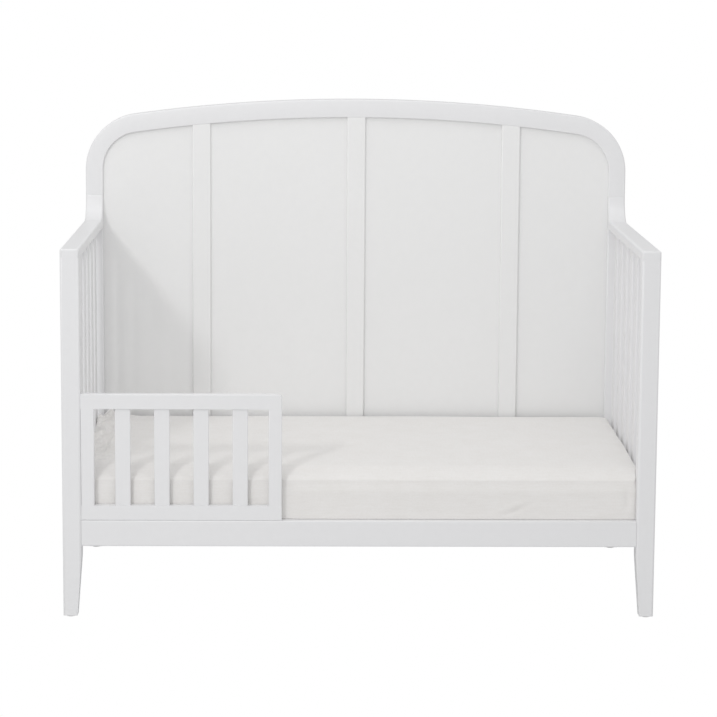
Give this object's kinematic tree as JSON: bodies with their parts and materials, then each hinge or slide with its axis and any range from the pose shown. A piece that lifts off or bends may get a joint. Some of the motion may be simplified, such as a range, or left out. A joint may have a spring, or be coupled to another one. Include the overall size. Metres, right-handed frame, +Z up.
{
  "type": "toddler bed",
  "caption": "Toddler bed with an arched panelled headboard, slatted ends whose arms sweep up into it, a half-length front guard rail and a lift-out mattress.",
  "frame": {"origin": "on the floor, under the centre of the bed's outline", "axes": "+X along the bed's length towards the end without the guard rail, +Y from the open front to the headboard, +Z up"},
  "size_m": [1.425, 0.79, 1.2079],
  "materials": {
    "paint": "satin white lacquer on solid wood",
    "panel_paint": "satin white lacquer on fibreboard",
    "sheet_cotton": "plain woven off-white cotton fitted sheet",
    "support_steel": "light grey powder coat",
    "zinc": "zinc plated",
    "beech": "bare beech",
    "glide_plastic": "moulded, matt"
  },
  "bodies": {
    "frame": {"left_front_leg": "paint", "right_front_leg": "paint", "left_rear_leg": "paint", "right_rear_leg": "paint", "left_arm": "paint", "right_arm": "paint", "left_end_rail": "paint", "right_end_rail": "paint", "left_end_slat_1": "paint", "left_end_slat_2": "paint", "left_end_slat_3": "paint", "left_end_slat_4": "paint", "left_end_slat_5": "paint", "left_end_slat_6": "paint", "right_end_slat_1": "paint", "right_end_slat_2": "paint", "right_end_slat_3": "paint", "right_end_slat_4": "paint", "right_end_slat_5": "paint", "right_end_slat_6": "paint", "headboard_arch": "paint", "headboard_bottom_rail": "paint", "headboard_left_stile": "paint", "headboard_right_stile": "paint", "headboard_batten_1": "paint", "headboard_batten_2": "paint", "headboard_batten_3": "paint", "headboard_panel_1": "panel_paint", "headboard_panel_2": "panel_paint", "headboard_panel_3": "panel_paint", "headboard_panel_4": "panel_paint", "front_rail": "paint", "guard_top_rail": "paint", "guard_bottom_rail": "paint", "guard_post_stile": "paint", "guard_free_stile": "paint", "guard_slat_1": "paint", "guard_slat_2": "paint", "guard_slat_3": "paint", "guard_slat_4": "paint", "support_front_angle": "support_steel", "support_rear_angle": "support_steel", "support_left_angle": "support_steel", "support_right_angle": "support_steel", "support_cross_wires": "support_steel", "support_long_wires": "support_steel", "left_front_bracket": "support_steel", "left_rear_bracket": "support_steel", "right_front_bracket": "support_steel", "right_rear_bracket": "support_steel", "bed_bolts": "zinc", "guard_bolts": "zinc", "barrel_nuts": "zinc", "bracket_screws": "zinc", "bracket_bolts": "zinc", "dowels": "beech", "foot_glides": "glide_plastic"},
    "mattress": {"mattress": "sheet_cotton"}
  },
  "joints": [
    {"name": "mattress_lift", "type": "slide", "parent": "frame", "child": "mattress", "axis": [0, 0, 1], "range_m": [0, 0.72]}
  ]
}
